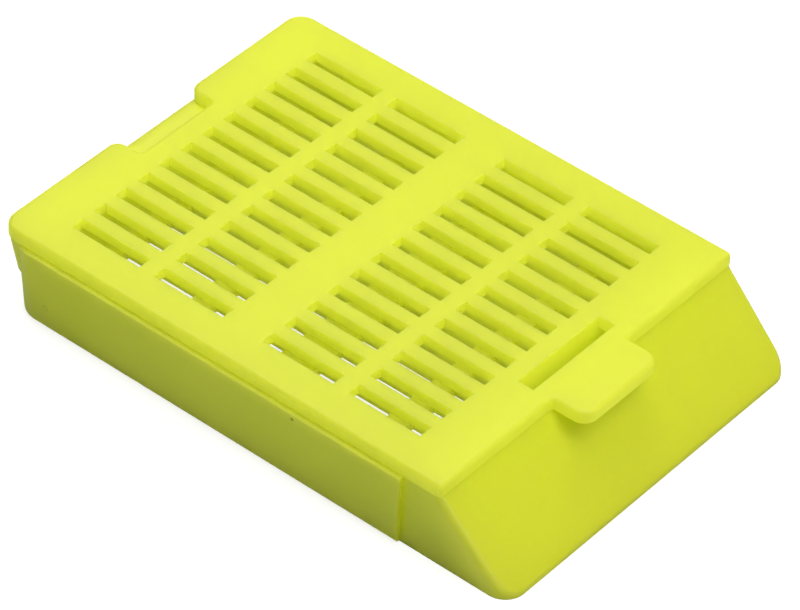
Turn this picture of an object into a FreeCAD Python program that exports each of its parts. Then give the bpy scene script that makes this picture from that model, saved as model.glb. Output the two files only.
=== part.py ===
"""Tissue cassette: a slotted histology box with a 45 degree writing face and a hinged, snap-shut lid.

Two acetal mouldings, the base and the lid, joined by two stub pins.  All lengths are millimetres.
+X runs from the hinged rear end to the writing face, +Y across and +Z up, with the origin on the
rest face under the middle of the closed cassette.
"""
import FreeCAD, Part
import os

import Sketcher

os.makedirs("parts", exist_ok=True)
doc = FreeCAD.newDocument("tissue_cassette")

# ---------------------------------------------------------------------------------------------
# Driving dimensions.  "From the rear" means forward from the lid's rear edge, which is the rear
# end of the whole cassette, and "from the front" means back from the lid's front edge.
# ---------------------------------------------------------------------------------------------
SIZES = {
    # whole cassette
    "overall_length": 40.5,
    "overall_height": 6.5,
    "lid_width": 28.2,              # the writing end is as wide as the lid
    "rim_overhang": 0.35,           # the tub's rim stands out past the lid on each long side
    "writing_angle": 45.0,          # writing face to the rest face, degrees
    "writing_drop": 1.0,            # top of the lid to the line where writing face and lid front meet
    "seat_gap": 0.02,               # lid's underside to the rim
    # base: tub
    "side_wall": 1.1,
    "floor_rise": 0.7,              # the floor stands clear of the rest face inside a foot ring
    "floor_thickness": 0.7,
    "wall_draft": 2.6,              # taper of the outside walls, degrees
    "tub_inset": 0.85,              # rear wall's outer face at the rim, from the rear
    "tub_corner": 1.8,
    "rim_end": 2.8,                 # where the wide rim stops, from the front
    "cavity_rear": 2.6,             # specimen compartment, from the rear
    "cavity_end": 1.85,             # its other end, from the front
    "cavity_corner": 0.8,
    "floor_fillet": 0.4,
    "foot_fillet": 0.4,
    "rim_fillet": 0.08,
    # base: writing end
    "front_wall": 1.0,
    "writing_plate": 1.1,
    "toe_land": 0.2,                # blunt front edge of the writing face
    "toe_corner": 1.5,
    "side_edge_fillet": 0.45,
    "rib": 0.8,                     # two ribs back the writing face, beside the latch window
    # lid
    "lid_edge": 0.9,
    "lid_panel": 0.75,              # the slotted field is thinner than the edge
    "panel_border": 0.5,            # ahead of and behind the slots
    "lid_rear_corner": 1.3,
    "lid_front_corner": 0.35,
    "lid_edge_fillet": 0.3,
    "notch_width": 6.8,
    "notch_depth": 2.0,
    "notch_corner": 0.8,
    "notch_root": 0.3,
    "tab_width": 7.2,
    "tab_reach": 2.6,
    "tab_corner": 1.0,
    "tab_root": 0.3,
    "guide_rib": 0.8,               # ribs that centre the lid between the side walls
    "guide_depth": 0.9,
    "guide_rear": 5.5,              # from the rear
    "guide_end": 4.7,               # from the front
    "guide_clearance": 0.3,
    # slots: rows across, in two pairs of columns along
    "slot_rows": 12,
    "row_margin": 2.1,              # from the lid's long edge to the outermost row's share
    "lid_slot_width": 1.0,
    "lid_rear_margin": 3.65,        # first column, from the rear
    "lid_front_margin": 3.71,       # last column, from the front
    "lid_column_gap": 1.18,         # within a pair
    "lid_pair_gap": 3.2,            # between the pairs
    "floor_slot_width": 1.1,
    "floor_rear_margin": 3.8,
    "floor_front_margin": 2.3,
    "floor_column_gap": 1.45,
    "floor_pair_gap": 2.6,
    # hinge
    "flange_inset": 0.15,           # rear flange's outer face, from the rear
    "flange_height": 1.3,           # of its outer face, beside the hinge
    "flange_foot": 2.28,            # its underside at the tub's wall, below the rim
    "flange_taper": 0.35,           # the outer face leans in this far
    "lug_height": 2.2,              # the same, in the middle, where the lug holds the pins
    "flange_corner": 1.2,
    "hinge_drop": 2.6,              # top of the lid to the hinge axis
    "knuckle_radius": 0.7,
    "knuckle_clearance": 0.15,
    "shelf_clearance": 0.25,        # under the knuckle, so that the arm can swing past
    "lug_overlap": 0.5,             # centre lug wider than the lid's notch, each side
    "arm_thickness": 0.75,
    "arm_width": 3.2,
    "arm_gap": 0.3,                 # each side of an arm
    "pin_diameter": 0.7,
    "pin_clearance": 0.05,          # on the radius
    "pin_length": 1.1,
    # latch
    "latch_slot_end": 2.45,         # slot's rear edge, from the front
    "latch_slot_width": 7.8,
    "latch_slot_length": 1.2,
    "latch_width": 9.4,
    "latch_thickness": 0.75,
    "latch_tip_gap": 0.95,          # above the floor
    "barb_top": 1.15,               # below the lid's underside
    "barb_tip_gap": 0.2,            # above the latch's tip
    "barb_land": 0.3,
    "latch_clearance": 0.05,        # barb to the catch that it passes
    "window_gap": 0.4,              # each side of the latch
    "window_drop": 1.0,             # below the rim
    "window_sill": 0.4,             # above the floor
    # building
    "overcut": 0.5,                 # how far a cut runs on past the surface that it opens
}

sheet = doc.addObject("Spreadsheet::Sheet", "Sizes")
for row, (alias, value) in enumerate(SIZES.items(), start=1):
    sheet.set("A%d" % row, alias)
    sheet.set("B%d" % row, str(value))
    sheet.setAlias("B%d" % row, alias)
doc.recompute()

# Places that several features share, as expressions on the sheet.
REAR = "(-Sizes.overall_length / 2)"
TOE = "(Sizes.overall_length / 2)"
TOP = "Sizes.overall_height"
LID_UNDERSIDE = "(Sizes.overall_height - Sizes.lid_edge)"
RIM = "(Sizes.overall_height - Sizes.lid_edge - Sizes.seat_gap)"
HALF_LID = "(Sizes.lid_width / 2)"
HALF_RIM = "(Sizes.lid_width / 2 + Sizes.rim_overhang)"
HALF_CAVITY = "(Sizes.lid_width / 2 + Sizes.rim_overhang - Sizes.side_wall)"
SLOPE = "tan(Sizes.writing_angle * 1 deg)"
LID_FRONT = (
    "(Sizes.overall_length / 2"
    " - (Sizes.overall_height - Sizes.writing_drop - Sizes.toe_land) / " + SLOPE + ")"
)
LID_LENGTH = "(%s - %s)" % (LID_FRONT, REAR)
FLOOR_TOP = "(Sizes.floor_rise + Sizes.floor_thickness)"
SLOT_PITCH = "((Sizes.lid_width - 2 * Sizes.row_margin) / Sizes.slot_rows)"
HINGE_X = "(-Sizes.overall_length / 2 + Sizes.flange_inset + Sizes.knuckle_radius)"
HINGE_Z = "(Sizes.overall_height - Sizes.hinge_drop)"
SHELF = "(Sizes.overall_height - Sizes.hinge_drop - Sizes.knuckle_radius - Sizes.shelf_clearance)"
HALF_LUG = "(Sizes.notch_width / 2 + Sizes.lug_overlap)"
ARM_INNER = "(Sizes.notch_width / 2 + Sizes.lug_overlap + Sizes.arm_gap)"


def from_rear(alias):
    """Expression for the X place of a size that is measured from the rear."""
    return "(%s + Sizes.%s)" % (REAR, alias)


def from_front(alias):
    """Expression for the X place of a size that is measured from the lid's front edge."""
    return "(%s - Sizes.%s)" % (LID_FRONT, alias)


def value_of(expression):
    """The number that an expression on the sheet gives now."""
    result = sheet.evalExpression(expression.replace("Sizes.", ""))
    return float(getattr(result, "Value", result))


# ---------------------------------------------------------------------------------------------
# Sketches and features
# ---------------------------------------------------------------------------------------------
def origin_feature(body, role):
    return next(item for item in body.Origin.OriginFeatures if item.Role == role)


def new_sketch(body, name, role, offset):
    """Empty sketch on one of the body's own origin planes, moved along the plane's normal."""
    sketch = body.newObject("Sketcher::SketchObject", name)
    sketch.AttachmentSupport = [(origin_feature(body, role), "")]
    sketch.MapMode = "FlatFace"
    if offset:
        sketch.setExpression("AttachmentOffset.Base.z", offset)
    return sketch


def bind(sketch, kind, *where, to):
    """Dimension whose value is the expression `to`."""
    index = sketch.addConstraint(Sketcher.Constraint(kind, *where, value_of(to)))
    sketch.setExpression("Constraints[%d]" % index, to)


def outline(body, name, role, corners, offset=None, arcs=None):
    """Closed outline through corners given as pairs of expressions.

    `arcs` maps the number of a side to the centre and radius of the arc that it is, the arc
    running anticlockwise.
    """
    arcs = arcs or {}
    sketch = new_sketch(body, name, role, offset)
    points = [FreeCAD.Vector(value_of(x), value_of(y), 0) for x, y in corners]
    count = len(points)
    for side in range(count):
        start, end = points[side], points[(side + 1) % count]
        if side in arcs:
            centre_x, centre_y, radius = [value_of(item) for item in arcs[side]]
            centre = FreeCAD.Vector(centre_x, centre_y, 0)
            circle = Part.Circle(centre, FreeCAD.Vector(0, 0, 1), radius)
            sketch.addGeometry(Part.ArcOfCircle(circle, circle.parameter(start), circle.parameter(end)))
        else:
            sketch.addGeometry(Part.LineSegment(start, end))
    for side in range(count):
        sketch.addConstraint(Sketcher.Constraint("Coincident", side, 2, (side + 1) % count, 1))
    for side, (x, y) in enumerate(corners):
        bind(sketch, "DistanceX", -1, 1, side, 1, to=x)
        bind(sketch, "DistanceY", -1, 1, side, 1, to=y)
    for side, (_, _, radius) in arcs.items():
        bind(sketch, "Radius", side, to=radius)
    return sketch


def box_corners(low_x, high_x, low_y, high_y):
    return [(low_x, low_y), (high_x, low_y), (high_x, high_y), (low_x, high_y)]


def disc(body, name, role, centre_x, centre_y, radius, offset=None):
    """Full circle."""
    sketch = new_sketch(body, name, role, offset)
    centre = FreeCAD.Vector(value_of(centre_x), value_of(centre_y), 0)
    sketch.addGeometry(Part.Circle(centre, FreeCAD.Vector(0, 0, 1), value_of(radius)))
    bind(sketch, "DistanceX", -1, 1, 0, 3, to=centre_x)
    bind(sketch, "DistanceY", -1, 1, 0, 3, to=centre_y)
    bind(sketch, "Radius", 0, to=radius)
    return sketch


def feature(kind, sketch, name, length, symmetric=False, reverse=False, draft=None):
    """Pad or pocket of a sketch.  The volume has to change the right way."""
    body = sketch.getParentGeoFeatureGroup()
    before = body.Shape.Volume if body.Tip else 0.0
    item = body.newObject("PartDesign::" + kind, name)
    item.Profile = sketch
    item.setExpression("Length", length)
    item.SideType = "Symmetric" if symmetric else "One side"
    item.Reversed = reverse
    if draft:
        item.setExpression("TaperAngle", draft)
    doc.recompute()
    gained = item.Shape.Volume - before
    if (gained <= 0) == (kind == "Pad"):
        raise RuntimeError("%s changes the volume by %.3f" % (name, gained))
    return item


def round_edges(base, name, radius, wanted):
    """Fillet of those edges of a feature for which wanted(edge) is true."""
    body = base.getParentGeoFeatureGroup()
    edges = ["Edge%d" % number for number, edge in enumerate(base.Shape.Edges, start=1) if wanted(edge)]
    if not edges:
        raise RuntimeError("%s finds no edge" % name)
    fillet = body.newObject("PartDesign::Fillet", name)
    fillet.Base = (base, edges)
    fillet.setExpression("Radius", "Sizes." + radius)
    doc.recompute()
    return fillet


def lean_faces(base, name, height, angle, wanted):
    """Draft of those faces of a feature for which wanted(face) is true, kept as they are at a height."""
    body = base.getParentGeoFeatureGroup()
    neutral = body.newObject("PartDesign::Plane", name + "_plane")
    neutral.AttachmentSupport = [(origin_feature(body, "XY_Plane"), "")]
    neutral.MapMode = "FlatFace"
    neutral.setExpression("AttachmentOffset.Base.z", height)
    faces = ["Face%d" % number for number, face in enumerate(base.Shape.Faces, start=1) if wanted(face)]
    draft = body.newObject("PartDesign::Draft", name)
    draft.Base = (base, faces)
    draft.NeutralPlane = (neutral, [""])
    draft.Reversed = True
    draft.setExpression("Angle", angle)
    doc.recompute()
    if draft.Shape.Volume >= base.Shape.Volume:
        raise RuntimeError("%s does not slim the body" % name)
    return draft


def mirror(items, name):
    """The other side's copy of features, across the plane y = 0."""
    body = items[0].getParentGeoFeatureGroup()
    item = body.newObject("PartDesign::Mirrored", name)
    item.Originals = items
    item.MirrorPlane = (origin_feature(body, "XZ_Plane"), [""])
    body.Tip = item
    doc.recompute()
    return item


def slot_field(body, plate, top, depth):
    """Slots through a plate, the lid or the floor, whose gaps and margins are named after it."""
    name = plate + "_slots"
    width, rear, front, column_gap, pair_gap = [
        "Sizes.%s_%s" % (plate, size)
        for size in ("slot_width", "rear_margin", "front_margin", "column_gap", "pair_gap")
    ]
    length = "((%s - %s - %s - 2 * %s - %s) / 4)" % (LID_LENGTH, rear, front, column_gap, pair_gap)
    start = "(%s + %s)" % (REAR, rear)
    first_row = "((Sizes.slot_rows - 1) * %s / -2)" % SLOT_PITCH
    corners = box_corners(
        start,
        "%s + %s" % (start, length),
        "%s - %s / 2" % (first_row, width),
        "%s + %s / 2" % (first_row, width),
    )
    sketch = outline(body, name + "_outline", "XY_Plane", corners, top)
    slot = feature("Pocket", sketch, name + "_slot", depth)
    field = body.newObject("PartDesign::MultiTransform", name)
    field.Originals = [slot]
    steps = []
    for step_name, axis, occurrences, pitch in (
        ("rows", "Y_Axis", "Sizes.slot_rows", SLOT_PITCH),
        ("columns", "X_Axis", "2", "%s + %s" % (length, column_gap)),
        ("pairs", "X_Axis", "2", "2 * %s + %s + %s" % (length, column_gap, pair_gap)),
    ):
        step = body.newObject("PartDesign::LinearPattern", "%s_%s" % (name, step_name))
        step.Direction = (origin_feature(body, axis), [""])
        step.Mode = "Spacing"
        step.setExpression("Occurrences", occurrences)
        step.setExpression("Offset", pitch)
        steps.append(step)
    field.Transformations = steps
    body.Tip = field
    doc.recompute()
    return field


# ---------------------------------------------------------------------------------------------
# Edge tests for the fillets
# ---------------------------------------------------------------------------------------------
TOLERANCE = 1e-4
STEEP = 4


def level(edge, height):
    """All of the edge lies at this height."""
    box = edge.BoundBox
    return abs(box.ZMin - height) < TOLERANCE and abs(box.ZMax - height) < TOLERANCE


def upright(edge):
    """The edge climbs much further than it runs sideways, as a drafted corner does."""
    box = edge.BoundBox
    return box.ZLength > STEEP * max(box.XLength, box.YLength) + TOLERANCE


def centre_near(item, x=None, half_y=None):
    """The middle of an edge's or a face's box lies at this X and this distance from y = 0."""
    centre = item.BoundBox.Center
    near_x = x is None or abs(centre.x - x) < TOLERANCE
    near_y = half_y is None or abs(abs(centre.y) - half_y) < TOLERANCE
    return near_x and near_y


# ---------------------------------------------------------------------------------------------
# Base: tub, rear flange with the hinge lug, and writing end
# ---------------------------------------------------------------------------------------------
def make_base():
    body = doc.addObject("PartDesign::Body", "base")
    body.Label = "base"

    # Writing end: as wide as the lid at the rim, drafted like the tub and cut off at the writing angle.
    rim_end = from_front("rim_end")
    end_start = "%s - Sizes.side_wall" % rim_end
    corners = box_corners(end_start, TOE, "-" + HALF_LID, HALF_LID)
    end_outline = outline(body, "writing_end_outline", "XY_Plane", corners)
    end = feature("Pad", end_outline, "writing_end", RIM)
    end = lean_faces(
        end, "writing_end_draft", RIM, "Sizes.wall_draft",
        lambda face: centre_near(face, half_y=value_of(HALF_LID)),
    )
    end = round_edges(
        end, "toe_corners", "toe_corner",
        lambda edge: upright(edge) and centre_near(edge, x=value_of(TOE)),
    )
    above = "(%s + Sizes.overcut)" % TOP
    corners = [
        (TOE, "Sizes.toe_land"),
        ("%s + Sizes.overcut" % TOE, "Sizes.toe_land"),
        ("%s + Sizes.overcut" % TOE, above),
        ("%s - (%s - Sizes.toe_land) / %s" % (TOE, above, SLOPE), above),
    ]
    face_outline = outline(body, "writing_face_outline", "XZ_Plane", corners)
    end = feature(
        "Pocket", face_outline, "writing_face", "Sizes.lid_width + 2 * Sizes.overcut", symmetric=True
    )
    top_x = value_of(LID_FRONT)
    toe_x = value_of(TOE)
    round_edges(
        end, "face_edge", "side_edge_fillet",
        lambda edge: edge.BoundBox.ZLength > TOLERANCE
        and edge.BoundBox.XMin < top_x < edge.BoundBox.XMax < toe_x,
    )

    # Tub: drafted walls under a wide rim.
    corners = box_corners(from_rear("tub_inset"), rim_end, "-" + HALF_RIM, HALF_RIM)
    tub_outline = outline(body, "tub_outline", "XY_Plane", corners, RIM)
    tub = feature("Pad", tub_outline, "tub", RIM, reverse=True, draft="-Sizes.wall_draft")
    tub = round_edges(
        tub, "tub_corners", "tub_corner", lambda edge: upright(edge) and edge.BoundBox.XMax < 0
    )
    for name, size, height in (("rim_edge", "rim_fillet", value_of(RIM)), ("foot_edge", "foot_fillet", 0)):
        tub = round_edges(
            tub, name, size, lambda edge: level(edge, height) and edge.BoundBox.XMin < 0
        )

    # Rear flange, and the deeper lug in its middle.  Their top is rolled about the hinge axis so
    # that the lid can swing over it.
    flange_x = from_rear("flange_inset")
    wall_x = "(%s + Sizes.knuckle_clearance)" % from_rear("tub_inset")
    roll = "(%s - %s)" % (RIM, HINGE_Z)
    flange_foot = "(%s - Sizes.flange_foot)" % RIM
    lug_foot = "(%s - Sizes.lug_height - (%s - %s))" % (RIM, wall_x, flange_x)
    for name, width, lean, height, foot in (
        ("flange", "Sizes.lid_width", "Sizes.flange_taper", "Sizes.flange_height", flange_foot),
        ("lug", "2 * " + HALF_LUG, "0", "Sizes.lug_height", lug_foot),
    ):
        corners = [
            ("%s + %s" % (flange_x, lean), "%s - %s" % (RIM, height)),
            (wall_x, foot),
            (from_rear("cavity_rear"), foot),
            (from_rear("cavity_rear"), RIM),
            (HINGE_X, RIM),
            (flange_x, "%s + sqrt(%s ^ 2 - Sizes.knuckle_radius ^ 2)" % (HINGE_Z, roll)),
        ]
        flange_outline = outline(
            body, name + "_outline", "XZ_Plane", corners, arcs={4: (HINGE_X, HINGE_Z, roll)}
        )
        flange = feature("Pad", flange_outline, name, width, symmetric=True)
        if name == "flange":
            outer = value_of(HALF_LID)
            rim_x = value_of(from_rear("tub_inset"))
            round_edges(
                flange, "flange_corners", "flange_corner",
                lambda edge: edge.BoundBox.XMax < rim_x
                and centre_near(edge, half_y=outer)
                and edge.BoundBox.ZLength > edge.BoundBox.XLength + TOLERANCE,
            )

    # Specimen compartment above the floor, and the recess inside the foot ring below it.
    cavity_ends = (from_rear("cavity_rear"), from_front("cavity_end"))
    half_cavity = value_of(HALF_CAVITY)
    floor_z = value_of(FLOOR_TOP)
    for name, opening, depth, upwards in (
        ("cavity", RIM, "%s - %s" % (RIM, FLOOR_TOP), False),
        ("recess", "0", "Sizes.floor_rise", True),
    ):
        corners = box_corners(*cavity_ends, "-" + HALF_CAVITY, HALF_CAVITY)
        room_outline = outline(body, name + "_outline", "XY_Plane", corners, opening)
        room = feature("Pocket", room_outline, name, depth, reverse=upwards)
        room = round_edges(
            room, name + "_corners", "cavity_corner",
            lambda edge: upright(edge)
            and any(centre_near(edge, x=value_of(x), half_y=half_cavity) for x in cavity_ends),
        )
        if name == "cavity":
            round_edges(room, "floor_edge", "floor_fillet", lambda edge: level(edge, floor_z))

    # Hollow behind the writing face, open below and closed by the front wall.
    hollow_x = "(%s + Sizes.front_wall)" % from_front("cavity_end")
    plate_shift = "Sizes.writing_plate / sin(Sizes.writing_angle * 1 deg)"
    under_toe = "(%s + Sizes.toe_land / %s - %s)" % (TOE, SLOPE, plate_shift)
    hollow_corners = [
        (hollow_x, "0"),
        (under_toe, "0"),
        (hollow_x, "(%s - %s) * %s" % (under_toe, hollow_x, SLOPE)),
    ]
    hollow_outline = outline(body, "hollow_outline", "XZ_Plane", hollow_corners)
    feature(
        "Pocket", hollow_outline, "hollow", "Sizes.lid_width - 2 * Sizes.side_wall", symmetric=True
    )
    window_half = "(Sizes.latch_width / 2 + Sizes.window_gap)"
    rib_outline = outline(
        body, "rib_outline", "XZ_Plane", hollow_corners, "-(%s + Sizes.rib)" % window_half
    )
    rib = feature("Pad", rib_outline, "rib", "Sizes.rib")
    mirror([rib], "ribs")

    # Latch window through the front wall: the lip above it is the catch.
    corners = box_corners(
        "-" + window_half,
        window_half,
        "%s + Sizes.window_sill" % FLOOR_TOP,
        "%s - Sizes.window_drop" % RIM,
    )
    window_outline = outline(
        body, "window_outline", "YZ_Plane", corners,
        "%s - Sizes.overcut" % from_front("cavity_end"),
    )
    feature(
        "Pocket", window_outline, "latch_window", "Sizes.front_wall + Sizes.overcut", reverse=True
    )

    # Pockets for the lid's hinge arms, each side of the centre lug.
    pocket_front = "(%s + Sizes.knuckle_radius + Sizes.knuckle_clearance)" % HINGE_X
    behind = "(%s - Sizes.overcut)" % REAR
    below = "(%s - Sizes.knuckle_clearance)" % SHELF
    corners = [
        (behind, below),
        (from_rear("tub_inset"), below),
        (from_rear("tub_inset"), SHELF),
        (pocket_front, SHELF),
        (pocket_front, above),
        (behind, above),
    ]
    pocket_far = "(%s + Sizes.arm_width + Sizes.arm_gap)" % ARM_INNER
    arm_outline = outline(body, "arm_pocket_outline", "XZ_Plane", corners, "-" + HALF_LUG)
    arm_pocket = feature(
        "Pocket", arm_outline, "arm_pocket", "%s - %s" % (pocket_far, HALF_LUG)
    )
    mirror([arm_pocket], "arm_pockets")

    # Pin hole through the lug.
    pin_hole = disc(
        body, "pin_hole_outline", "XZ_Plane", HINGE_X, HINGE_Z,
        "Sizes.pin_diameter / 2 + Sizes.pin_clearance",
    )
    feature("Pocket", pin_hole, "pin_hole", "2 * %s + Sizes.arm_gap" % HALF_LUG, symmetric=True)

    slot_field(body, "floor", FLOOR_TOP, "Sizes.floor_thickness + Sizes.overcut")
    return body


# ---------------------------------------------------------------------------------------------
# Lid: slotted plate with thumb tab, latch, guide ribs and hinge arms
# ---------------------------------------------------------------------------------------------
def make_lid():
    body = doc.addObject("PartDesign::Body", "lid")
    body.Label = "lid"
    top = value_of(TOP)

    # Plate and thumb tab.
    corners = box_corners(REAR, LID_FRONT, "-" + HALF_LID, HALF_LID)
    plate_outline = outline(body, "plate_outline", "XY_Plane", corners, LID_UNDERSIDE)
    plate = feature("Pad", plate_outline, "plate", "Sizes.lid_edge")
    for name, size, place in (
        ("plate_rear_corners", "lid_rear_corner", REAR),
        ("plate_front_corners", "lid_front_corner", LID_FRONT),
    ):
        x = value_of(place)
        plate = round_edges(plate, name, size, lambda edge: upright(edge) and centre_near(edge, x=x))
    half_tab = "(Sizes.tab_width / 2)"
    tab_end = "(%s + Sizes.tab_reach)" % LID_FRONT
    corners = box_corners("%s - Sizes.tab_root" % LID_FRONT, tab_end, "-" + half_tab, half_tab)
    tab_outline = outline(body, "tab_outline", "XY_Plane", corners, LID_UNDERSIDE)
    plate = feature("Pad", tab_outline, "thumb_tab", "Sizes.lid_edge")
    for name, size, place in (
        ("tab_corners", "tab_corner", tab_end),
        ("tab_root_fillets", "tab_root", LID_FRONT),
    ):
        x = value_of(place)
        plate = round_edges(
            plate, name, size,
            lambda edge: upright(edge) and centre_near(edge, x=x, half_y=value_of(half_tab)),
        )

    # Notch over the centre lug.
    half_notch = "(Sizes.notch_width / 2)"
    corners = box_corners(
        "%s - Sizes.overcut" % REAR, from_rear("notch_depth"), "-" + half_notch, half_notch
    )
    notch_outline = outline(body, "notch_outline", "XY_Plane", corners, TOP)
    plate = feature("Pocket", notch_outline, "notch", "Sizes.lid_edge")
    for name, size, place in (
        ("notch_corners", "notch_corner", REAR),
        ("notch_roots", "notch_root", from_rear("notch_depth")),
    ):
        x = value_of(place)
        plate = round_edges(
            plate, name, size,
            lambda edge: upright(edge) and centre_near(edge, x=x, half_y=value_of(half_notch)),
        )
    plate = round_edges(plate, "top_edge", "lid_edge_fillet", lambda edge: level(edge, top))

    # Thinner field under the slots.
    half_field = "(Sizes.slot_rows * %s / 2)" % SLOT_PITCH
    corners = box_corners(
        "%s - Sizes.panel_border" % from_rear("lid_rear_margin"),
        "%s + Sizes.panel_border" % from_front("lid_front_margin"),
        "-" + half_field,
        half_field,
    )
    field_outline = outline(body, "thin_field_outline", "XY_Plane", corners, LID_UNDERSIDE)
    feature(
        "Pocket", field_outline, "thin_field", "Sizes.lid_edge - Sizes.lid_panel", reverse=True
    )

    # Guide ribs just inside the side walls.
    rib_outer = "(%s - Sizes.guide_clearance)" % HALF_CAVITY
    corners = box_corners(
        from_rear("guide_rear"),
        from_front("guide_end"),
        "%s - Sizes.guide_rib" % rib_outer,
        rib_outer,
    )
    guide_outline = outline(body, "guide_outline", "XY_Plane", corners, LID_UNDERSIDE)
    guide = feature("Pad", guide_outline, "guide_rib", "Sizes.guide_depth", reverse=True)
    mirror([guide], "guide_ribs")

    # Latch: a tongue behind the latch slot, with its barb under the slot.
    tongue_front = from_front("latch_slot_end")
    tongue_back = "(%s - Sizes.latch_thickness)" % tongue_front
    tongue_tip = "(%s + Sizes.latch_tip_gap)" % FLOOR_TOP
    barb_tip = "(%s - Sizes.latch_clearance)" % from_front("cavity_end")
    barb_top = "(%s - Sizes.barb_top)" % LID_UNDERSIDE
    barb_slope = "(%s - %s) / 2" % (barb_tip, tongue_front)
    root = "(%s + (Sizes.lid_edge - Sizes.lid_panel))" % LID_UNDERSIDE
    corners = [
        (tongue_back, tongue_tip),
        (tongue_front, tongue_tip),
        (tongue_front, "%s + Sizes.barb_tip_gap" % tongue_tip),
        (barb_tip, "%s - %s - Sizes.barb_land" % (barb_top, barb_slope)),
        (barb_tip, "%s - %s" % (barb_top, barb_slope)),
        (tongue_front, barb_top),
        (tongue_front, root),
        (tongue_back, root),
    ]
    latch_outline = outline(body, "latch_outline", "XZ_Plane", corners)
    feature("Pad", latch_outline, "latch", "Sizes.latch_width", symmetric=True)
    half_slot = "(Sizes.latch_slot_width / 2)"
    corners = box_corners(
        tongue_front, "%s + Sizes.latch_slot_length" % tongue_front, "-" + half_slot, half_slot
    )
    slot_outline = outline(body, "latch_slot_outline", "XY_Plane", corners, TOP)
    feature("Pocket", slot_outline, "latch_slot", "Sizes.lid_edge")

    # Hinge: an arm with a round knuckle and a stub pin, each side of the lug.
    arm_x = from_rear("flange_inset")
    corners = box_corners(arm_x, "%s + Sizes.arm_thickness" % arm_x, HINGE_Z, root)
    arm_outline = outline(body, "arm_outline", "XZ_Plane", corners, "-" + ARM_INNER)
    arm = feature("Pad", arm_outline, "arm", "Sizes.arm_width", reverse=True)
    knuckle_outline = disc(
        body, "knuckle_outline", "XZ_Plane", HINGE_X, HINGE_Z, "Sizes.knuckle_radius", "-" + ARM_INNER
    )
    knuckle = feature("Pad", knuckle_outline, "knuckle", "Sizes.arm_width", reverse=True)
    pin_start = "(%s - Sizes.pin_length)" % ARM_INNER
    pin_outline = disc(
        body, "pin_outline", "XZ_Plane", HINGE_X, HINGE_Z, "Sizes.pin_diameter / 2", "-" + pin_start
    )
    pin = feature("Pad", pin_outline, "pin", "Sizes.pin_length + Sizes.arm_width / 2", reverse=True)
    mirror([arm, knuckle, pin], "hinge_arms")

    slot_field(body, "lid", TOP, "Sizes.lid_edge")
    return body


# ---------------------------------------------------------------------------------------------
# Check and write
# ---------------------------------------------------------------------------------------------
pieces = [make_base(), make_lid()]
doc.recompute()

for item in doc.Objects:
    if "Invalid" in item.State or "Error" in item.State:
        raise RuntimeError("%s failed: %s" % (item.Name, item.State))
for piece in pieces:
    shape = piece.Shape
    if shape.isNull() or not shape.isValid() or len(shape.Solids) != 1:
        raise RuntimeError("%s is not one valid solid" % piece.Label)
for piece in pieces:
    piece.Shape.exportStep("parts/%s.step" % piece.Label)
    print("%s: %.2f mm3" % (piece.Label, piece.Shape.Volume))
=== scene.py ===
"""Looks of a tissue cassette: two moulded acetal pieces, hinged, on a white sweep."""
import math

import bpy
import numpy as np
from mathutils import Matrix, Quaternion, Vector


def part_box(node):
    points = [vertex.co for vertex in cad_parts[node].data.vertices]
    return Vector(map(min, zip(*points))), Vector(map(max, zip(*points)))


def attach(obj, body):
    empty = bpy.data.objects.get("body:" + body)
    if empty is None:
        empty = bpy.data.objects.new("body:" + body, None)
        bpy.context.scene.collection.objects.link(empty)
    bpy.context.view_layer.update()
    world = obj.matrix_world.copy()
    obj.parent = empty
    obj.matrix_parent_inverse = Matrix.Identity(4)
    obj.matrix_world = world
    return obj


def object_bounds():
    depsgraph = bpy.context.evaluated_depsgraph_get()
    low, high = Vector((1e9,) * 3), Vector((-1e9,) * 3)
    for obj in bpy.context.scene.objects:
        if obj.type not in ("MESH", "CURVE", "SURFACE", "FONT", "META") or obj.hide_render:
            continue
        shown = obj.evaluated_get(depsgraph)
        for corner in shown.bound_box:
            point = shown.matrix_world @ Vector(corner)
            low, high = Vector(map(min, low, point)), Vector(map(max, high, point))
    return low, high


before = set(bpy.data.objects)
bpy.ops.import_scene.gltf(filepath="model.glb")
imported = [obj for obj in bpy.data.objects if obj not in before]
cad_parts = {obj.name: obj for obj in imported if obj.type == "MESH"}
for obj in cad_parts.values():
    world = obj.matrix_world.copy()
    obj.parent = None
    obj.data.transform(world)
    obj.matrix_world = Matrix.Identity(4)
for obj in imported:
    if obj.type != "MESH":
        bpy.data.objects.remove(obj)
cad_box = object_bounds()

MM = 0.001
UP, DOWN = Vector((0, 0, 1)), Vector((0, 0, -1))


# ------------------------------------------------------------------------------------------
# Helpers
# ------------------------------------------------------------------------------------------
def linear(hex_colour):
    """Linear RGBA of an sRGB hex colour."""
    channels = [int(hex_colour[i:i + 2], 16) / 255 for i in (0, 2, 4)]
    return [c / 12.92 if c <= 0.04045 else ((c + 0.055) / 1.055) ** 2.4 for c in channels] + [1.0]


def add_node(tree, kind, inputs=None, **settings):
    """One shader node with its settings, and its inputs as values or as sockets to link from."""
    node = tree.nodes.new(kind)
    for name, value in settings.items():
        setattr(node, name, value)
    for name, value in (inputs or {}).items():
        if isinstance(value, bpy.types.NodeSocket):
            tree.links.new(value, node.inputs[name])
        else:
            node.inputs[name].default_value = value
    return node


def new_material(name):
    """Empty node material, and its tree."""
    material = bpy.data.materials.new(name)
    material.use_nodes = True
    material.node_tree.nodes.clear()
    return material, material.node_tree


def bearing(azimuth, elevation):
    """Direction towards a compass bearing (0 is -Y, 90 is +X) and a height in degrees."""
    a, e = math.radians(azimuth), math.radians(elevation)
    return Vector((math.sin(a) * math.cos(e), -math.cos(a) * math.cos(e), math.sin(e)))


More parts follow.
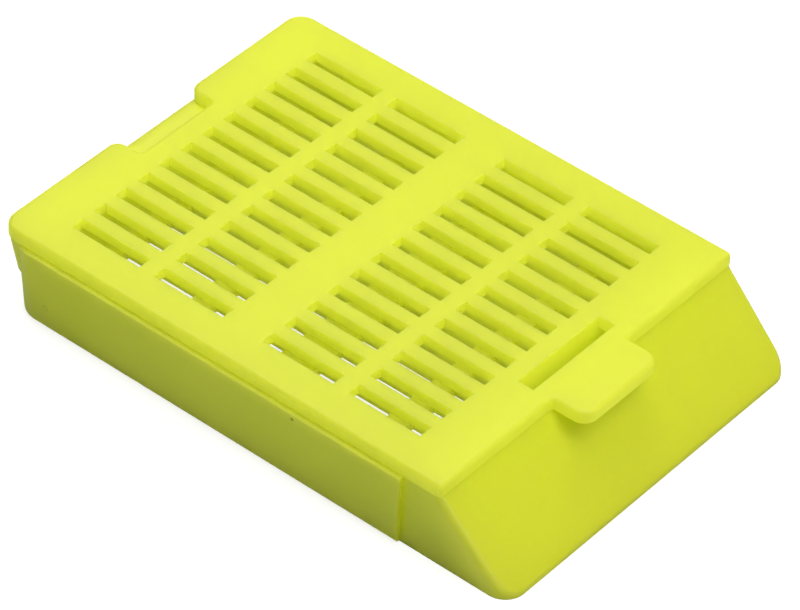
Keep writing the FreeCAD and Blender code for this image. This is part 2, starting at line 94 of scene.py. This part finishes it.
# ------------------------------------------------------------------------------------------
# Materials
# ------------------------------------------------------------------------------------------
def moulded_acetal(name, body_colour, deep_colour, through_colour, let_through, frosted=None):
    """Injection-moulded acetal (POM), dyed lime yellow: waxy, translucent, satin skin.

    The spark-eroded tool leaves a fine grain, and the melt leaves broad, very weak clouds with
    fainter streaks along the flow.  Thin walls pass light, so recesses glow a deeper, greener
    yellow instead of going dark; let_through is the share of the light that passes the skin, and
    it falls as the walls get thicker.  frosted is the direction of a face that the tool roughens
    more, so that it takes pencil: its grain stands higher and its sheen is duller.
    """
    material, tree = new_material(name)
    coordinates = add_node(tree, "ShaderNodeTexCoord").outputs
    place = coordinates["Object"]
    # clouds of dye about 9 mm across, and flow streaks 12 mm long and 1.5 mm wide
    clouds = add_node(
        tree, "ShaderNodeTexNoise", {"Vector": place, "Scale": 1 / (9 * MM), "Detail": 2.0},
    )
    along = add_node(
        tree, "ShaderNodeMapping",
        {"Vector": place, "Scale": (1 / (12 * MM), 1 / (1.5 * MM), 1 / (1.5 * MM))},
    )
    streaks = add_node(
        tree, "ShaderNodeTexNoise", {"Vector": along.outputs[0], "Scale": 1.0, "Detail": 1.0},
    )
    tint = add_node(
        tree, "ShaderNodeMix",
        {"Factor": 0.3, 2: clouds.outputs["Fac"], 3: streaks.outputs["Fac"]},
    )
    colour = add_node(
        tree, "ShaderNodeMix",
        {"Factor": tint.outputs[0], 6: linear(body_colour), 7: linear(deep_colour)},
        data_type="RGBA",
    )
    # grit of the eroded tool, about 0.1 mm across and drawn at 0.25 mm so that it shows
    grain = add_node(
        tree, "ShaderNodeTexNoise", {"Vector": place, "Scale": 1 / (0.25 * MM), "Detail": 3.0},
    )
    plain_grit, plain_sheen = 0.25, 0.8
    bump = add_node(
        tree, "ShaderNodeBump",
        {"Height": grain.outputs["Fac"], "Strength": plain_grit, "Distance": 0.02 * MM},
    )
    dullness = add_node(
        tree, "ShaderNodeMapRange",
        {"Value": grain.outputs["Fac"], "To Min": 0.40, "To Max": 0.52},
    )
    skin = add_node(
        tree, "ShaderNodeBsdfPrincipled",
        {
            "Base Color": colour.outputs[2],
            "Roughness": dullness.outputs[0],
            "IOR": 1.48,
            "Specular IOR Level": plain_sheen,
            "Subsurface Weight": 1.0,
            "Subsurface Radius": (1.0, 1.0, 0.4),
            "Subsurface Scale": 0.8 * MM,
            "Normal": bump.outputs["Normal"],
        },
    )
    if frosted:
        facing = add_node(
            tree, "ShaderNodeVectorMath", {0: coordinates["Normal"], 1: frosted},
            operation="DOT_PRODUCT",
        )
        # 1 on the frosted face, fading to 0 where the surface turns 8 to 14 degrees away from it
        on_face = add_node(
            tree, "ShaderNodeMapRange",
            {"Value": facing.outputs["Value"], "From Min": 0.97, "From Max": 0.99},
        ).outputs[0]
        grit = add_node(
            tree, "ShaderNodeMapRange", {"Value": on_face, "To Min": plain_grit, "To Max": 0.7},
        )
        duller = add_node(
            tree, "ShaderNodeMath", {0: on_face, 1: 0.15, 2: dullness.outputs[0]},
            operation="MULTIPLY_ADD",
        )
        # the broken-up skin throws back less of the white room, so the dye looks fuller
        sheen = add_node(
            tree, "ShaderNodeMapRange", {"Value": on_face, "To Min": plain_sheen, "To Max": 0.3},
        )
        tree.links.new(grit.outputs[0], bump.inputs["Strength"])
        tree.links.new(duller.outputs[0], skin.inputs["Roughness"])
        tree.links.new(sheen.outputs[0], skin.inputs["Specular IOR Level"])
    through = add_node(tree, "ShaderNodeBsdfTranslucent", {"Color": linear(through_colour)})
    both = add_node(
        tree, "ShaderNodeMixShader",
        {0: let_through, 1: skin.outputs["BSDF"], 2: through.outputs["BSDF"]},
    )
    add_node(tree, "ShaderNodeOutputMaterial", {"Surface": both.outputs[0]})
    return material


def dark_olive_acetal():
    """A small dark speck in the skin: olive brown, dull and opaque."""
    material, tree = new_material("dark_olive_acetal")
    place = add_node(tree, "ShaderNodeTexCoord").outputs["Object"]
    # lighter and darker olive, 0.08 mm across
    clouds = add_node(
        tree, "ShaderNodeTexNoise", {"Vector": place, "Scale": 1 / (0.08 * MM), "Detail": 2.0},
    )
    colour = add_node(
        tree, "ShaderNodeMix",
        {"Factor": clouds.outputs["Fac"], 6: linear("B2B22A"), 7: linear("BEBC34")},
        data_type="RGBA",
    )
    skin = add_node(
        tree, "ShaderNodeBsdfPrincipled", {"Base Color": colour.outputs[2], "Roughness": 0.55},
    )
    add_node(tree, "ShaderNodeOutputMaterial", {"Surface": skin.outputs["BSDF"]})
    return material


def white_sweep():
    """Bright paper: pure white to the eye and to reflections, but it still takes a soft shadow."""
    material, tree = new_material("white_paper")
    paper = add_node(tree, "ShaderNodeBsdfDiffuse", {"Color": linear("AEAEAE")})
    shaded = add_node(tree, "ShaderNodeBsdfDiffuse", {"Color": linear("A0A0A0")})
    glow = add_node(tree, "ShaderNodeEmission", {"Color": linear("FFFFFF"), "Strength": 0.80})
    bright = add_node(tree, "ShaderNodeAddShader", {0: shaded.outputs[0], 1: glow.outputs[0]})
    ray = add_node(tree, "ShaderNodeLightPath").outputs
    seen = add_node(
        tree, "ShaderNodeMath", {0: ray["Is Camera Ray"], 1: ray["Is Glossy Ray"]},
        operation="MAXIMUM",
    )
    mix = add_node(
        tree, "ShaderNodeMixShader",
        {0: seen.outputs[0], 1: paper.outputs[0], 2: bright.outputs[0]},
    )
    add_node(tree, "ShaderNodeOutputMaterial", {"Surface": mix.outputs[0]})
    return material


# ------------------------------------------------------------------------------------------
# The two mouldings
# ------------------------------------------------------------------------------------------
low, high = Vector(cad_box[0]), Vector(cad_box[1])
centre = (low + high) / 2

WRITING_FACE = (math.sqrt(0.5), 0.0, math.sqrt(0.5))    # outward, 45 degrees up
finish = {
    "base": moulded_acetal(
        "moulded_acetal_base", body_colour="F4FC38", deep_colour="EFF832",
        through_colour="FDFF98", let_through=0.50, frosted=WRITING_FACE,
    ),
    "lid": moulded_acetal(
        "moulded_acetal_lid", body_colour="F7FF3A", deep_colour="F2FB34",
        through_colour="FDFF98", let_through=0.62,
    ),
}
for name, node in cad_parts.items():
    node.data.materials.clear()
    node.data.materials.append(finish[name])


# ------------------------------------------------------------------------------------------
# Marks that the tool leaves on the mouldings
# ------------------------------------------------------------------------------------------
def surface(name, grid, carrier, material, ends=None):
    """Smooth closed mesh over a grid of points whose columns wrap round.

    The rows wrap round too, or else ends gives the two points that close the first and last rows.
    """
    rows, columns = grid.shape[:2]
    here = np.arange(rows * columns).reshape(rows, columns)
    beside = np.roll(here, -1, axis=1)
    points = grid.reshape(-1, 3)
    if ends is None:
        above, opposite = np.roll(here, -1, axis=0), np.roll(beside, -1, axis=0)
        faces = np.stack((here, beside, opposite, above), -1).reshape(-1, 4).tolist()
    else:
        first, last = np.full((2, columns), rows * columns) + [[0], [1]]
        points = np.vstack((points, ends))
        strips = np.stack((here[:-1], beside[:-1], beside[1:], here[1:]), -1)
        faces = strips.reshape(-1, 4).tolist()
        faces += np.stack((first, beside[0], here[0]), -1).tolist()
        faces += np.stack((last, here[-1], beside[-1]), -1).tolist()
    mesh = bpy.data.meshes.new(name)
    mesh.from_pydata(points.tolist(), [], faces)
    mesh.polygons.foreach_set("use_smooth", [True] * len(mesh.polygons))
    mesh.materials.append(material)
    piece = bpy.data.objects.new(name, mesh)
    bpy.context.collection.objects.link(piece)
    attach(piece, carrier)
    return piece


def skin_point(carrier, start, direction):
    """Point and outward direction where a line from start first meets a moulding."""
    hit, point, normal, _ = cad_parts[carrier].ray_cast(start, direction)
    assert hit, "the mark misses the " + carrier
    return np.array(point), np.array(normal)


def across(outward):
    """Two directions at right angles to outward and to each other."""
    side = np.cross(outward, (1.0, 0.0, 0.0))
    side /= np.linalg.norm(side)
    return side, np.cross(outward, side)


def bead(name, carrier, start, direction, radius, height, material):
    """Flattened ball, half sunk in the skin.

    Parameters t (0 to 1, from the buried pole to the outer one) and phi (once round).  A point
    lies radius*sin(pi*t) from the axis, and -height*cos(pi*t) above the skin.
    """
    point, outward = skin_point(carrier, start, direction)
    side, other = across(outward)
    t = np.linspace(0, 1, 13)[1:-1, None, None]
    phi = np.linspace(0, 2 * math.pi, 24, endpoint=False)[None, :, None]
    grid = (
        point + radius * np.sin(math.pi * t) * (np.cos(phi) * side + np.sin(phi) * other)
        - height * np.cos(math.pi * t) * outward
    )
    ends = (point - height * outward, point + height * outward)
    return surface(name, grid, carrier, material, ends)


def pin_ring(name, carrier, start, direction, radius, material):
    """Low raised ring round the print of an ejector pin, half sunk in the skin.

    Parameters t (once round the ring's section) and phi (once round the pin).  A point lies
    radius + half_width*cos(t) from the pin's axis, and height*sin(t) above the skin.
    """
    half_width, height = 0.05 * MM, 0.015 * MM
    point, outward = skin_point(carrier, start, direction)
    side, other = across(outward)
    t = np.linspace(0, 2 * math.pi, 12, endpoint=False)[:, None, None]
    phi = np.linspace(0, 2 * math.pi, 48, endpoint=False)[None, :, None]
    reach = radius + half_width * np.cos(t)
    grid = (
        point + reach * (np.cos(phi) * side + np.sin(phi) * other)
        + height * np.sin(t) * outward
    )
    return surface(name, grid, carrier, material)


base_low, base_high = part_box("base")
lid_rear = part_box("lid")[0].x

# on the -Y long wall: the sheared gate low down near the hinge, and one dark olive speck under
# the rim; each is found by a line that starts well outside the wall
GATE_FROM_REAR, GATE_RISE = 3.8 * MM, 1.8 * MM
GATE_RADIUS, GATE_HEIGHT = 0.22 * MM, 0.12 * MM
SPECK_FROM_REAR, SPECK_BELOW_TOP = 23.9 * MM, 0.4 * MM
SPECK_RADIUS, SPECK_HEIGHT = 0.12 * MM, 0.006 * MM
outside = base_low.y - 5 * MM
inward = Vector((0, 1, 0))
bead(
    "gate_stub", "base",
    Vector((base_low.x + GATE_FROM_REAR, outside, base_low.z + GATE_RISE)), inward,
    GATE_RADIUS, GATE_HEIGHT, finish["base"],
)
bead(
    "dark_speck", "base",
    Vector((base_low.x + SPECK_FROM_REAR, outside, base_high.z - SPECK_BELOW_TOP)), inward,
    SPECK_RADIUS, SPECK_HEIGHT, dark_olive_acetal(),
)

# four ejector pins under the lid and four on the floor, in the plain band across the middle
LID_PINS_FROM_REAR, LID_PIN_RADIUS = 17.57 * MM, 0.8 * MM
FLOOR_PINS_FROM_REAR, FLOOR_PIN_RADIUS = 18.2 * MM, 0.7 * MM
PIN_PLACES = (-9 * MM, -3 * MM, 3 * MM, 9 * MM)
for k, y in enumerate(PIN_PLACES):
    pin_ring(
        "lid_pin_%d" % k, "lid",
        Vector((lid_rear + LID_PINS_FROM_REAR, y, base_low.z)), UP,
        LID_PIN_RADIUS, finish["lid"],
    )
    pin_ring(
        "floor_pin_%d" % k, "base",
        Vector((base_low.x + FLOOR_PINS_FROM_REAR, y, base_high.z)), DOWN,
        FLOOR_PIN_RADIUS, finish["base"],
    )


# ------------------------------------------------------------------------------------------
# Stage: floor, sky, lamps, camera
# ------------------------------------------------------------------------------------------
def white_room():
    """Sky that is white to the eye and to mirrors, and gives only a weak light of its own."""
    world = bpy.data.worlds.new("studio")
    world.use_nodes = True
    tree = world.node_tree
    tree.nodes.clear()
    ambient = add_node(tree, "ShaderNodeBackground", {"Color": linear("FFFFFF"), "Strength": 0.04})
    backdrop = add_node(tree, "ShaderNodeBackground", {"Color": linear("FFFFFF"), "Strength": 1.0})
    ray = add_node(tree, "ShaderNodeLightPath").outputs
    # the eye, mirrors and clear gaps see the white backdrop; light scattered through the plastic
    # is a transmission ray and a diffuse ray at once, and sees only the ambient light
    clear = add_node(
        tree, "ShaderNodeMath",
        {0: ray["Is Transmission Ray"], 1: ray["Is Diffuse Ray"]}, operation="GREATER_THAN",
    )
    direct = add_node(
        tree, "ShaderNodeMath", {0: ray["Is Camera Ray"], 1: ray["Is Glossy Ray"]},
        operation="MAXIMUM",
    )
    seen = add_node(
        tree, "ShaderNodeMath", {0: direct.outputs[0], 1: clear.outputs[0]},
        operation="MAXIMUM",
    )
    sky = add_node(
        tree, "ShaderNodeMixShader",
        {0: seen.outputs[0], 1: ambient.outputs[0], 2: backdrop.outputs[0]},
    )
    add_node(tree, "ShaderNodeOutputWorld", {"Surface": sky.outputs[0]})
    return world


def softbox(name, azimuth, elevation, distance, size, power):
    """Square lamp aimed at the cassette from a bearing."""
    lamp = bpy.data.lights.new(name, "AREA")
    lamp.shape = "SQUARE"
    lamp.size = size
    lamp.energy = power
    holder = bpy.data.objects.new(name, lamp)
    bpy.context.collection.objects.link(holder)
    outward = bearing(azimuth, elevation)
    holder.location = centre + outward * distance
    holder.rotation_euler = outward.to_track_quat("Z", "Y").to_euler()
    return holder


# the floor lies a hair under the rest face, so that the two never share a plane
FLOOR_SIZE, FLOOR_GAP = 4.0, 0.02 * MM
bpy.ops.mesh.primitive_plane_add(
    size=FLOOR_SIZE, location=(centre.x, centre.y, low.z - FLOOR_GAP),
)
floor = bpy.context.object
floor.name = "floor"
floor.data.materials.append(white_sweep())

bpy.context.scene.world = white_room()

# the rear lamp stands close, so that the lid's top falls off from the hinge to the tab
softbox("overhead", azimuth=0, elevation=90, distance=1.5, size=1.0, power=6.0)
softbox("front", azimuth=98, elevation=60, distance=1.5, size=1.0, power=17.0)
softbox("rear", azimuth=240, elevation=62, distance=0.20, size=0.135, power=0.205)

# a long lens that looks down on the corner between the writing face and the -Y wall
CAMERA_AZIMUTH = 38.03
CAMERA_ELEVATION = 41.78
CAMERA_ROLL = 2.91
CAMERA_DISTANCE = 332.5 * MM
AIM = Vector((0.5, -0.35, 3.0)) * MM
FOCAL_LENGTH = 243.1
SENSOR_WIDTH = 36
outward = bearing(CAMERA_AZIMUTH, CAMERA_ELEVATION)
camera = bpy.data.objects.new("camera", bpy.data.cameras.new("camera"))
bpy.context.collection.objects.link(camera)
camera.location = AIM + outward * CAMERA_DISTANCE
roll = Quaternion((0, 0, 1), math.radians(CAMERA_ROLL))
camera.rotation_euler = (outward.to_track_quat("Z", "Y") @ roll).to_euler()
camera.data.lens = FOCAL_LENGTH
camera.data.sensor_width = SENSOR_WIDTH
camera.data.clip_start = 10 * MM
bpy.context.scene.camera = camera
bpy.context.scene.view_settings.view_transform = "Standard"
